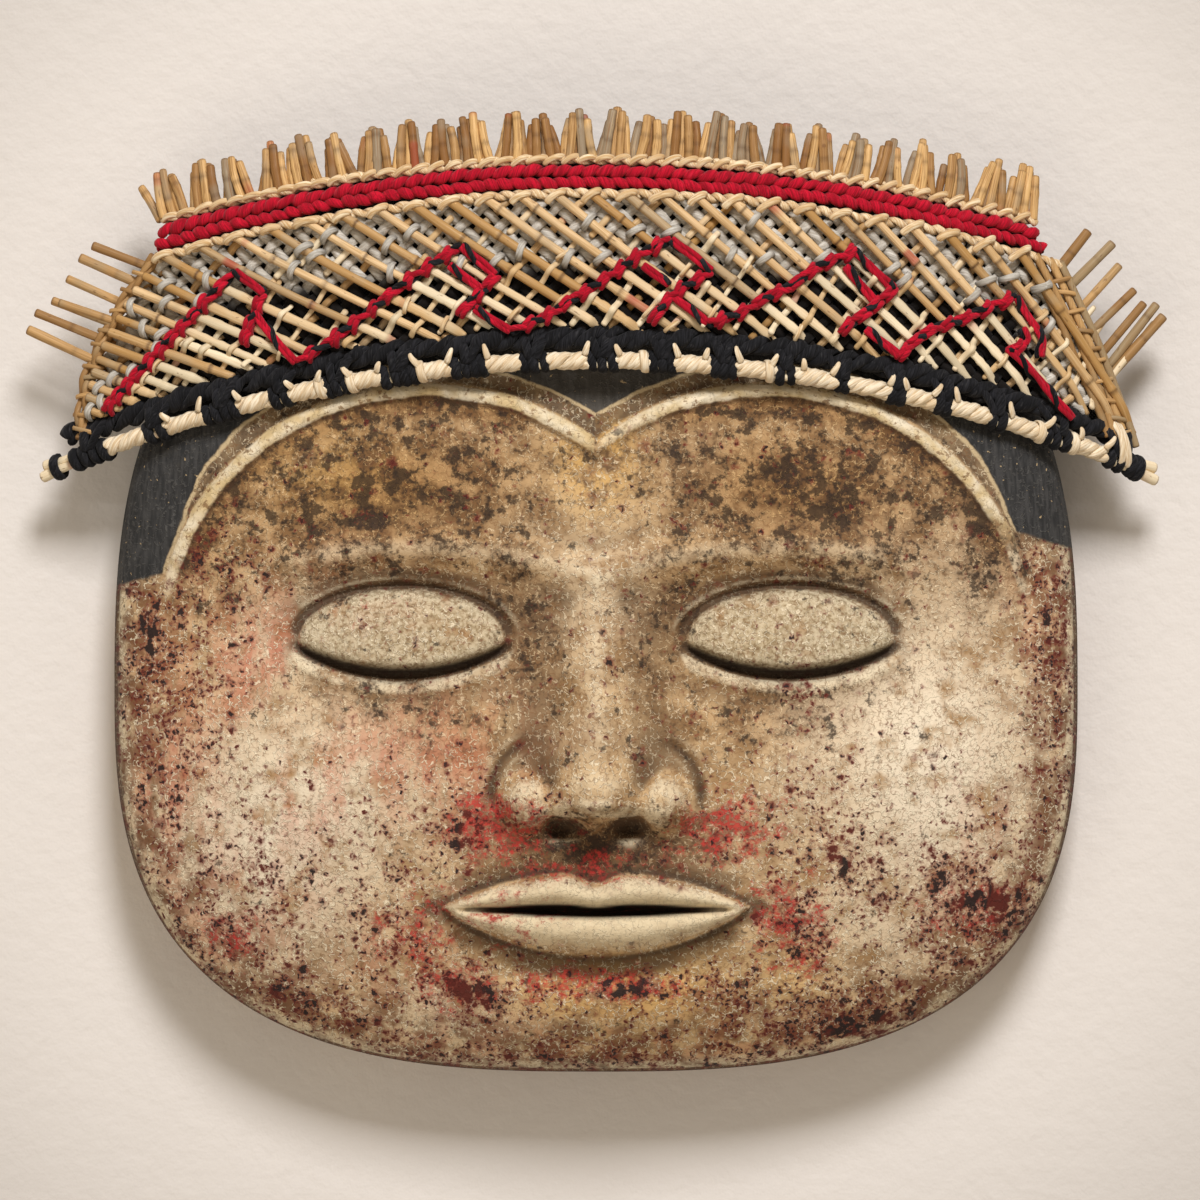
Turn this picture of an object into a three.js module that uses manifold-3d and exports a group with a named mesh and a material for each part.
// A funerary mask: a broad carved wooden face with closed eyes, hollowed out at the back,
// under a basketry crown of split reed, twined cord and upright reed ends.
// The mask lies on its back. +Z is the way the face looks, +Y is up the face, and the table is Z = 0.
// Lengths are in millimetres. The eye line of the face is Y = 0 until the last lines centre the object.

import * as THREE from 'three';
import { mergeVertices } from 'three/addons/utils/BufferGeometryUtils.js';
import Module from 'manifold-3d';

// The carved face
const MASK_WIDTH = 291;
const MASK_HEIGHT = 262;
const MASK_DEPTH = 60; // table to the top of the dome, nose left out
const SIDE_DEPTH = 22; // height of the widest line above the table
const WALL = 16; // wood left between the face and the hollow back
const HOLLOW_SIDE = 10; // height at which the hollow's roof starts to arch
const BACK_SCALE = 0.955; // the back is a little smaller than the widest line
const OUTLINE_POWER = 2.8; // 2 is an ellipse, more is squarer
const DOME_POWER = 2.4;
const WIDEST_BELOW_EYES = 15;
const EDGE_FADE = [0.01, 0.14]; // the features die away between these shares of the way in from the outline

// The crown
const CROWN_HALF_WIDTH = 164; // half of the lower rim
const CROWN_TOP_HALF_WIDTH = 132; // half of the top row
const RIM_ABOVE_EYES = 83; // the lower rim at its middle
const CROWN_HEIGHT = 61; // lower rim to top row, at the middle
const RIM_DROP = 32; // how far the rim's ends hang below its middle
const TOP_DROP = 18;
const SIDE_BULGE = 3;
const CROWN_WRAP = 40; // how far the ends go back round the head
const WRAP_POWER = 2.4;
const CROWN_LEAN = 10; // how far the top row leans back
const PANEL_THICKNESS = 4;
const GAP = 0.3; // clearance between pieces that touch

// Reed and cord
const REED_RADIUS = 1.35;
const REED_SPACING = 10.5;
const RED_CORD_RADIUS = 2.2;
const CREAM_CORD_RADIUS = 1.5;
const RIM_CORD_RADIUS = 3;
const SIDE_CORD_RADIUS = 2.2;
const ZIGZAG_RADIUS = 1.1;
const STITCH_LENGTH = 15;
const STITCH_DIP = 0.2; // share of the radius lost between two stitches
const BUNCH_COUNT = 26;
const BUNCH_HEIGHT = 13;
const STICKS_IN_BUNCH = 3;
const FAN_STICKS = 7;
const FAN_SPAN = [0.45, 1]; // shares of the side cord between which the ends fan out
const ROD_SIDES = 4;

const COLOURS = {
  wood: { color: 0xa98c6a, roughness: 0.78 },
  reed: { color: 0xc79a5b, roughness: 0.62 },
  cream: { color: 0xe3c89a, roughness: 0.7 },
  red: { color: 0x9c0f1e, roughness: 0.85 },
  black: { color: 0x17171a, roughness: 0.9 },
  grey: { color: 0x8f8d86, roughness: 0.88 },
};

const wasm = await Module();
wasm.setup();

const { clamp, lerp, smoothstep, degToRad } = THREE.MathUtils;

// Soft shapes that the features are made of
const bell = (x, width) => Math.exp(-((x / width) ** 2));
const knob = (dx, dy, rx, ry, power = 1) => Math.exp(-(((dx / rx) ** 2 + (dy / ry) ** 2) ** power));
const cap = (dx, dy, rx, ry, power) => Math.max(0, 1 - (dx / rx) ** 2 - (dy / ry) ** 2) ** power;
const blend = (a, b, k) => 0.5 * (a + b + Math.sqrt((a - b) ** 2 + k * k) - k);

// The face is drawn in eye widths across, as a face is five eyes wide, and in head units up,
// as hairline, brow, nose and chin are a unit apart. Heights of the relief are in eye widths.
const EYE_WIDTH = MASK_WIDTH / 5;
const HEAD_UNIT = MASK_HEIGHT / 3.5;
const HALF_WIDTH = MASK_WIDTH / 2;
const TOP_REACH = MASK_HEIGHT / 2 + WIDEST_BELOW_EYES;
const CHIN_REACH = MASK_HEIGHT / 2 - WIDEST_BELOW_EYES;
const MOUTH_Y = -1.083;

const SOFT_FORMS = {
  socket: { x: 1, y: 0.03, across: 0.74, up: 0.33, height: -0.13 },
  cheek: { x: 1.38, y: -0.55, across: 0.62, up: 0.45, height: 0.1 },
  muzzle: { x: 0, y: MOUTH_Y, across: 0.95, up: 0.35, height: 0.07 },
  mouthCorner: { x: 0.84, y: MOUTH_Y, across: 0.07, up: 0.06, height: -0.03 },
  philtrum: { x: 0, y: -0.87, across: 0.07, up: 0.07, height: -0.02 },
  underLip: { x: 0, y: -1.33, across: 0.5, up: 0.06, height: -0.04 },
  chin: { x: 0, y: -1.5, across: 0.55, up: 0.18, height: 0.09 },
};
const BROW = { y: 0.25, arch: 0.11, x: 0.95, soft: 0.085, height: 0.075, fade: [1.35, 1.9] };
const LID = { x: 1, halfWidth: 0.53, halfHeight: 0.2, height: 0.17, round: 0.6 };
const SLIT = { y: -0.05, sag: 0.085, halfWidth: 0.5, depth: 0.05, soft: 0.02 };
const LOWER_LID = { below: 0.065, soft: 0.04, height: 0.045 };
const NOSE = { root: 0.2, length: 0.86, foot: [-0.79, -0.66], top: [0.1, 0.45] };
const NOSE_TIP = { y: -0.605, across: 0.235, up: 0.165, height: 0.33, power: 1.3 };
const NOSE_WING = { x: 0.33, y: -0.65, across: 0.16, up: 0.12, height: 0.19, power: 1.5 };
const NOSTRIL = { x: 0.17, y: -0.755, across: 0.09, up: 0.04, height: -0.13 };
const LIPS = { upperHalf: 0.82, lowerHalf: 0.78, upper: 0.135, lower: 0.165, height: 0.12, notch: 0.03 };
const PARTING = { halfWidth: 0.72, above: 0.03, below: 0.038, depth: 0.2 };
const HAIRLINE = { x: 0.86, y: 0.174, across: 1.443, up: 0.835, ridge: 0.045, soft: 0.03, step: 0.02 };

function softForms(X, Y) {
  return Object.values(SOFT_FORMS).reduce(
    (sum, form) => sum + form.height * knob(X - form.x, Y - form.y, form.across, form.up),
    0,
  );
}

function eye(X, Y) {
  const dx = X - LID.x;
  const browLine = BROW.y + BROW.arch * (1 - ((X - BROW.x) / BROW.x) ** 2);
  const brow = BROW.height * bell(Y - browLine, BROW.soft) * smoothstep(-X, -BROW.fade[1], -BROW.fade[0]);
  const slit = SLIT.y - SLIT.sag * (1 - (dx / SLIT.halfWidth) ** 2);
  const shut = smoothstep(Y, slit - SLIT.soft, slit + SLIT.soft);
  const lid = LID.height * cap(dx, Y, LID.halfWidth, LID.halfHeight, LID.round) * shut;
  const nearEye = smoothstep(-Math.abs(dx), -0.6, -0.48);
  const cut = -SLIT.depth * bell(Y - slit, SLIT.soft);
  const lower = LOWER_LID.height * bell(Y - slit + LOWER_LID.below, LOWER_LID.soft);
  return brow + lid + (cut + lower) * nearEye;
}

function nose(X, Y) {
  const down = clamp((NOSE.root - Y) / NOSE.length, 0, 1.05);
  const width = 0.13 + 0.09 * down ** 1.5;
  const ridge = (0.06 + 0.17 * down ** 1.2) * bell(X, width);
  const flank = (0.03 + 0.1 * down) * bell(X, 2.1 * width);
  const along = smoothstep(Y, ...NOSE.foot) * smoothstep(-Y, -NOSE.top[1], -NOSE.top[0]);
  const part = (form) => form.height * knob(X - (form.x ?? 0), Y - form.y, form.across, form.up, form.power);
  const bridged = blend((ridge + flank) * along, part(NOSE_TIP), 0.05);
  return blend(bridged, part(NOSE_WING), 0.05) + part(NOSTRIL);
}

function lips(X, Y) {
  const parting = 1 - (X / PARTING.halfWidth) ** 2;
  const upperEdge = MOUTH_Y + PARTING.above * parting - 0.5 * LIPS.notch * bell(X, 0.12);
  const lowerEdge = MOUTH_Y - PARTING.below * parting;
  const fullness = (half) => Math.max(0, 1 - (X / half) ** 2) ** 0.8;
  const upperLip = Math.max(0.001, LIPS.upper * fullness(LIPS.upperHalf) - LIPS.notch * bell(X, 0.1));
  const lowerLip = Math.max(0.001, LIPS.lower * fullness(LIPS.lowerHalf));
  const across = Y > MOUTH_Y ? (Y - upperEdge) / upperLip : (lowerEdge - Y) / lowerLip;
  const rolled = across < 1 ? Math.sin(Math.PI * (0.25 + 0.75 * Math.max(0, across))) : 0;
  const inside = Math.min(upperEdge - Y, Y - lowerEdge);
  return LIPS.height * rolled * smoothstep(-X, -0.84, -0.7) - PARTING.depth * smoothstep(inside, 0, 0.03);
}

// The raised line where the painted hair begins: two arcs that meet in a point over the nose.
function hairline(X, Y) {
  const beyond = Math.hypot((X - HAIRLINE.x) / HAIRLINE.across, (Y - HAIRLINE.y) / HAIRLINE.up) - 1;
  const ridge = HAIRLINE.ridge * bell(beyond, HAIRLINE.soft);
  const step = HAIRLINE.step * smoothstep(beyond, 0.02, 0.06);
  return (ridge - step) * smoothstep(Y, 0.1, 0.3);
}

// How far out a point lies: 0 at the middle of the face, 1 on its outline, shrunk by inset.
function outlineShare(x, y, inset = 0) {
  const dy = y + WIDEST_BELOW_EYES;
  const reach = (dy > 0 ? TOP_REACH : CHIN_REACH) - inset;
  const across = Math.abs(x / (HALF_WIDTH - inset)) ** OUTLINE_POWER;
  return (across + Math.abs(dy / reach) ** OUTLINE_POWER) ** (1 / OUTLINE_POWER);
}

// Height of the carved front above the table.
function frontHeight(x, y) {
  const out = Math.min(1, outlineShare(x, y));
  const dome = SIDE_DEPTH + (MASK_DEPTH - SIDE_DEPTH) * Math.sqrt(1 - out ** DOME_POWER);
  const X = Math.abs(x) / EYE_WIDTH;
  const Y = y / HEAD_UNIT;
  const carved = softForms(X, Y) + eye(X, Y) + nose(X, Y) + lips(X, Y) + hairline(X, Y);
  return dome + carved * EYE_WIDTH * smoothstep(1 - out, ...EDGE_FADE);
}

// Height of the hollow's roof.
function hollowHeight(x, y) {
  const out = Math.min(1, outlineShare(x, y, WALL));
  return HOLLOW_SIDE + (MASK_DEPTH - WALL - HOLLOW_SIDE) * Math.sqrt(1 - out ** DOME_POWER);
}

// A closed shape as a manifold solid, and back as a geometry.
function toSolid(geometry) {
  const bare = new THREE.BufferGeometry();
  bare.setAttribute('position', geometry.getAttribute('position'));
  bare.setIndex(geometry.index);
  const merged = mergeVertices(bare, 1e-4);
  return new wasm.Manifold(
    new wasm.Mesh({
      numProp: 3,
      vertProperties: merged.attributes.position.array,
      triVerts: new Uint32Array(merged.index.array),
    }),
  );
}

// Triangles that stray less than this from a flat face are merged.
const FLATNESS = 0.025;

function toGeometry(solid) {
  const mesh = solid.simplify(FLATNESS).getMesh();
  const geometry = new THREE.BufferGeometry();
  geometry.setAttribute('position', new THREE.BufferAttribute(mesh.vertProperties, 3));
  geometry.setIndex(new THREE.BufferAttribute(mesh.triVerts, 1));
  return geometry;
}

const joined = (geometries) =>
  toGeometry(geometries.map(toSolid).reduce((whole, next) => whole.add(next)));

// Grid lines from landmarks: each mark is a place and the number of cells up to the next mark.
function gridLines(marks) {
  const lines = [];
  for (let i = 0; i < marks.length - 1; i += 1) {
    const [from, cells] = marks[i];
    for (let k = 0; k < cells; k += 1) lines.push(lerp(from, marks[i + 1][0], k / cells));
  }
  lines.push(marks[marks.length - 1][0]);
  return lines;
}

// A box whose grid is bent to the face's outline: columns and rows are shares of the half sizes.
function outlinedBox(columns, rows, layers, place) {
  const box = new THREE.BoxGeometry(2, 2, 1, columns.length - 1, rows.length - 1, layers);
  const at = box.attributes.position;
  const rounded = (near, far) => near * (1 - Math.abs(far) ** OUTLINE_POWER / 2) ** (1 / OUTLINE_POWER);
  for (let i = 0; i < at.count; i += 1) {
    const u = columns[Math.round(((at.getX(i) + 1) / 2) * (columns.length - 1))];
    const v = rows[Math.round(((at.getY(i) + 1) / 2) * (rows.length - 1))];
    const p = place(rounded(u, v), rounded(v, u), at.getZ(i) + 0.5);
    at.setXYZ(i, p.x, p.y, p.z);
  }
  return box;
}

// Shares of the outline's half sizes to a place on the face, with the outline shrunk by inset.
function facePoint(across, up, inset, scale) {
  const reach = (up > 0 ? TOP_REACH : CHIN_REACH) - inset;
  return {
    x: across * (HALF_WIDTH - inset) * scale,
    y: up * reach * scale - WIDEST_BELOW_EYES,
  };
}

// Finer where the eyes, nose and mouth are, and where the dome turns down at its edge.
const SIDE_MARKS = [[0, 4], [0.2, 7], [0.62, 2], [0.8, 2], [0.95, 1], [0.99, 1], [1, 0]];
const DOWN_MARKS = [[0, 3], [0.3, 5], [0.46, 6], [0.72, 2], [0.88, 2], [0.97, 1], [1, 0]];
const UP_MARKS = [[0, 5], [0.2, 3], [0.34, 4], [0.72, 2], [0.9, 2], [0.98, 1], [1, 0]];
const HOLLOW_EDGE = 0.96; // the last strip before the hollow's wall
const HOLLOW_CELLS = 10;

function maskGeometry() {
  const mirrored = (lines) => lines.slice(1).map((place) => -place).reverse();
  const side = gridLines(SIDE_MARKS);
  const columns = [...mirrored(side), ...side];
  const rows = [...mirrored(gridLines(DOWN_MARKS)), ...gridLines(UP_MARKS)];
  const outside = outlinedBox(columns, rows, 2, (across, rise, w) => {
    const p = facePoint(across, rise, 0, lerp(BACK_SCALE, 1, Math.sqrt(w)));
    return { ...p, z: w * frontHeight(p.x, p.y) };
  });
  const even = gridLines([[-1, 1], [-HOLLOW_EDGE, HOLLOW_CELLS], [HOLLOW_EDGE, 1], [1, 0]]);
  const hollow = outlinedBox(even, even, 1, (across, rise, w) => {
    const p = facePoint(across, rise, WALL, 1);
    return { ...p, z: lerp(-1, hollowHeight(p.x, p.y), w) };
  });
  return toGeometry(toSolid(outside).subtract(toSolid(hollow)));
}

// The crown's middle surface. u runs from -1 at the left end to 1, v from 0 at the rim to 1 at the top row.
const crownHalfWidth = (v) => lerp(CROWN_HALF_WIDTH, CROWN_TOP_HALF_WIDTH, v);

function crownFlat(u, v) {
  const bulge = SIDE_BULGE * 4 * v * (1 - v) * u * Math.abs(u);
  const x = crownHalfWidth(v) * u + bulge;
  const low = RIM_ABOVE_EYES - RIM_DROP * u ** 2;
  const high = RIM_ABOVE_EYES + CROWN_HEIGHT - TOP_DROP * u ** 2;
  const z = -CROWN_WRAP * Math.abs(x / CROWN_HALF_WIDTH) ** WRAP_POWER - CROWN_LEAN * v;
  return new THREE.Vector3(x, lerp(low, high, v), z);
}

// The crown is set down on the forehead until its thickest cord is one gap away from the wood.
function seatHeight() {
  let seat = 0;
  for (let u = -1; u <= 1; u += 0.02) {
    for (const v of [-0.04, 0.02, 0.12, 0.3, 0.5, 0.7]) {
      const p = crownFlat(u, v);
      if (outlineShare(p.x, p.y) < 1) seat = Math.max(seat, frontHeight(p.x, p.y) - p.z);
    }
  }
  return seat + RIM_CORD_RADIUS + GAP;
}
const CROWN_SEAT = seatHeight();

// A place on the crown, with the ways along its rows, up across them and out of its front.
function crownFrame(u, v) {
  const at = crownFlat(u, v);
  at.z += CROWN_SEAT;
  const step = 0.01;
  const along = crownFlat(u + step, v).sub(crownFlat(u - step, v)).normalize();
  const rise = crownFlat(u, v + step).sub(crownFlat(u, v - step));
  const out = along.clone().cross(rise).normalize();
  return { at, along, up: out.clone().cross(along), out };
}

function crownPoint(u, v, out = 0) {
  const frame = crownFrame(u, v);
  return frame.at.addScaledVector(frame.out, out);
}

// A rod of any radius along a path: a closed cylinder bent to it.
function bentRod(path, radius, sides, steps) {
  const rod = new THREE.CylinderGeometry(1, 1, 1, sides, steps);
  const at = rod.attributes.position;
  const near = 0.01;
  for (let i = 0; i < at.count; i += 1) {
    const t = at.getY(i) + 0.5;
    const centre = path(t);
    const ahead = path(Math.min(1, t + near)).sub(path(Math.max(0, t - near))).normalize();
    const sideways = new THREE.Vector3(0, 0, 1).cross(ahead).normalize();
    const outwards = ahead.clone().cross(sideways).normalize();
    const r = radius(t);
    centre.addScaledVector(sideways, at.getX(i) * r).addScaledVector(outwards, -at.getZ(i) * r);
    at.setXYZ(i, centre.x, centre.y, centre.z);
  }
  return rod;
}

function straightRod(from, to, radius) {
  return bentRod((t) => from.clone().lerp(to, t), radius, ROD_SIDES, 1);
}

// A row of cord along the crown at height v, thinner between its stitches.
function cordRow(v, radius, out = 0) {
  const stitches = Math.round((2 * crownHalfWidth(v)) / STITCH_LENGTH);
  const dip = (t) => 1 - STITCH_DIP * Math.sin(Math.PI * stitches * t) ** 2;
  const path = (t) => crownPoint(lerp(-1, 1, t), v, out);
  return bentRod(path, (t) => radius * dip(t), ROD_SIDES, stitches * 2);
}

// Rows are stacked edge to edge, so each one's place follows from the radii.
const rowShare = (distance) => distance / CROWN_HEIGHT;
const RIM_UPPER_V = rowShare(2 * RIM_CORD_RADIUS + GAP);
const PANEL_BOTTOM_V = RIM_UPPER_V + rowShare(RIM_CORD_RADIUS + GAP);
const CREAM_TOP_V = 1;
const RED_UPPER_V = CREAM_TOP_V - rowShare(CREAM_CORD_RADIUS + RED_CORD_RADIUS + 2 * GAP);
const RED_LOWER_V = RED_UPPER_V - rowShare(2 * RED_CORD_RADIUS + 2 * GAP);
const CREAM_LOWER_V = RED_LOWER_V - rowShare(CREAM_CORD_RADIUS + RED_CORD_RADIUS + 2 * GAP);
const PANEL_TOP_V = CREAM_LOWER_V - rowShare(CREAM_CORD_RADIUS + 2 * GAP);

// The woven panel reaches the cords that bind the crown's two ends.
const PANEL_COLUMNS = 20;
const PANEL_ROWS = 2;

function panelGeometry() {
  const panel = new THREE.BoxGeometry(2, 1, 1, PANEL_COLUMNS, PANEL_ROWS, 1);
  const at = panel.attributes.position;
  for (let i = 0; i < at.count; i += 1) {
    const v = lerp(PANEL_BOTTOM_V, PANEL_TOP_V, at.getY(i) + 0.5);
    const edge = 1 - (SIDE_CORD_RADIUS + 2 * GAP) / crownHalfWidth(v);
    const p = crownPoint(at.getX(i) * edge, v, at.getZ(i) * PANEL_THICKNESS);
    at.setXYZ(i, p.x, p.y, p.z);
  }
  return panel;
}

// Front reeds lie on the panel and lean more the further left they start.
const REED_OUT = PANEL_THICKNESS / 2 + 2 * GAP + REED_RADIUS;
const REED_FOOT_V = PANEL_BOTTOM_V + rowShare(REED_RADIUS);
const REED_SPAN = [-0.93, 0.86];
const REED_STEPS = 3;
const reedFoot = (u) => u + 0.4 * Math.max(0, 1 - u) ** 0.8;

function topReed(u) {
  const path = (t) =>
    crownPoint(lerp(u, reedFoot(u), t), lerp(CREAM_LOWER_V, REED_FOOT_V, t), REED_OUT);
  return bentRod(path, () => REED_RADIUS, ROD_SIDES, REED_STEPS);
}

// The reeds and the cream row that ties their upper ends are one woven piece: the cord bites into each reed.
const CORD_BITE = 0.8;
const CREAM_LOWER_OUT = REED_OUT - REED_RADIUS + CORD_BITE - CREAM_CORD_RADIUS;

function reedLattice() {
  const count = Math.floor((2 * CROWN_TOP_HALF_WIDTH * -REED_SPAN[0]) / REED_SPACING);
  const reeds = [];
  for (let i = 0; i <= count; i += 1) reeds.push(topReed(lerp(...REED_SPAN, i / count)));
  return joined([cordRow(CREAM_LOWER_V, CREAM_CORD_RADIUS, CREAM_LOWER_OUT), ...reeds]);
}

// The reed ends that fan out of one side of the crown, with the cord that binds them there.
const FANS = {
  left: { side: -1, slopes: [20, 36], reach: 20 },
  right: { side: 1, slopes: [40, 56], reach: 23 },
};
const FAN_BACK = -0.12; // the ends point a little back

function sideFan({ side, slopes, reach }) {
  const lowV = PANEL_BOTTOM_V + rowShare(SIDE_CORD_RADIUS);
  const highV = CREAM_LOWER_V - rowShare(CREAM_CORD_RADIUS + SIDE_CORD_RADIUS + GAP);
  const along = (t) => crownPoint(side, lerp(lowV, highV, t));
  const cord = bentRod(along, () => SIDE_CORD_RADIUS, ROD_SIDES + 1, 6);
  const sticks = [];
  for (let i = 0; i < FAN_STICKS; i += 1) {
    const rise = i / (FAN_STICKS - 1);
    const bound = along(lerp(...FAN_SPAN, rise));
    const slope = degToRad(lerp(...slopes, rise));
    const length = reach * (1 + 0.12 * Math.sin(i * 2.4));
    const away = new THREE.Vector3(side * Math.cos(slope), Math.sin(slope), FAN_BACK);
    sticks.push(straightRod(bound, bound.clone().addScaledVector(away, length), () => REED_RADIUS));
  }
  return joined([cord, ...sticks]);
}

// Upright reed ends, leaning together to a point.
function bunch(index) {
  const u = lerp(-0.965, 0.965, index / (BUNCH_COUNT - 1));
  const width = ((2 * CROWN_TOP_HALF_WIDTH) / BUNCH_COUNT) * 0.42;
  const height = BUNCH_HEIGHT * (1 + 0.1 * Math.sin(index * 2.1));
  const foot = CREAM_CORD_RADIUS + 3 * GAP;
  const { at, along, up } = crownFrame(u, CREAM_TOP_V);
  const place = (sideways, rise) =>
    at.clone().addScaledVector(along, sideways).addScaledVector(up, rise);
  const sticks = [];
  for (let k = 0; k < STICKS_IN_BUNCH; k += 1) {
    const lean = lerp(-1, 1, k / (STICKS_IN_BUNCH - 1));
    const from = place(lean * width * 0.7, foot);
    const to = place(lean * width * 0.38, foot + height * (1 - 0.18 * Math.abs(lean)));
    sticks.push(straightRod(from, to, (t) => REED_RADIUS * lerp(1.25, 1, t)));
  }
  return joined(sticks);
}

// The zigzag of cord wrapped over the reeds. Each peak has four bends: steps in u, and heights v.
const ZIGZAG_PEAKS = 5;
const ZIGZAG_SPAN = [-0.76, 0.87];
const ZIGZAG_START = [-0.93, 0.24];
const ZIGZAG_BENDS = [[0, 0.6], [0.09, 0.49], [0.05, 0.32], [0.16, 0.225]];
const ZIGZAG_END_U = 0.96;

function zigzagGeometry() {
  const out = REED_OUT + REED_RADIUS + 2 * GAP + ZIGZAG_RADIUS;
  const bends = [new THREE.Vector3(...ZIGZAG_START, 0)];
  for (let i = 0; i < ZIGZAG_PEAKS; i += 1) {
    const peak = lerp(...ZIGZAG_SPAN, (i / (ZIGZAG_PEAKS - 1)) ** 0.94);
    const shrink = 1 - 0.06 * i;
    for (const [step, v] of ZIGZAG_BENDS) {
      bends.push(new THREE.Vector3(Math.min(ZIGZAG_END_U, peak + step * shrink), v, 0));
    }
  }
  const curve = new THREE.CatmullRomCurve3(bends, false, 'catmullrom', 0.1);
  const path = (t) => crownPoint(curve.getPoint(t).x, curve.getPoint(t).y, out);
  return bentRod(path, () => ZIGZAG_RADIUS, ROD_SIDES, (bends.length - 1) * 2);
}

// The lower rim: black cord with bands of cream wrapping, round two core reeds that show at the ends.
const CORE_SPAN = [0.96, 1.03];
const CORE_RADIUS = 1.2 * REED_RADIUS;

function rimLowerGeometry() {
  const cores = [-1, 1].map((side) =>
    bentRod((t) => crownPoint(side * lerp(...CORE_SPAN, t), 0), () => CORE_RADIUS, ROD_SIDES, 1),
  );
  return joined([cordRow(0, RIM_CORD_RADIUS), ...cores]);
}

function piece(name, geometry, finish) {
  geometry.computeVertexNormals();
  const material = new THREE.MeshStandardMaterial({ ...COLOURS[finish], metalness: 0 });
  const mesh = new THREE.Mesh(geometry, material);
  mesh.name = name;
  return mesh;
}

const mask = new THREE.Group();
mask.add(
  piece('mask_face', maskGeometry(), 'wood'),
  piece('crown_panel', panelGeometry(), 'grey'),
  piece('reed_lattice', reedLattice(), 'reed'),
  piece('zigzag_cord', zigzagGeometry(), 'red'),
  piece('cream_row_top', cordRow(CREAM_TOP_V, CREAM_CORD_RADIUS), 'cream'),
  piece('red_row_upper', cordRow(RED_UPPER_V, RED_CORD_RADIUS), 'red'),
  piece('red_row_lower', cordRow(RED_LOWER_V, RED_CORD_RADIUS), 'red'),
  piece('rim_cord_upper', cordRow(RIM_UPPER_V, RIM_CORD_RADIUS), 'black'),
  piece('rim_cord_lower', rimLowerGeometry(), 'black'),
  piece('left_reed_ends', sideFan(FANS.left), 'reed'),
  piece('right_reed_ends', sideFan(FANS.right), 'reed'),
);
for (let i = 0; i < BUNCH_COUNT; i += 1) {
  mask.add(piece(`reed_bunch_${String(i + 1).padStart(2, '0')}`, bunch(i), 'reed'));
}

// The frame's origin is under the middle of the whole object, on the table.
const middle = new THREE.Box3().setFromObject(mask).getCenter(new THREE.Vector3());
mask.position.set(-middle.x, -middle.y, 0);

export default mask;
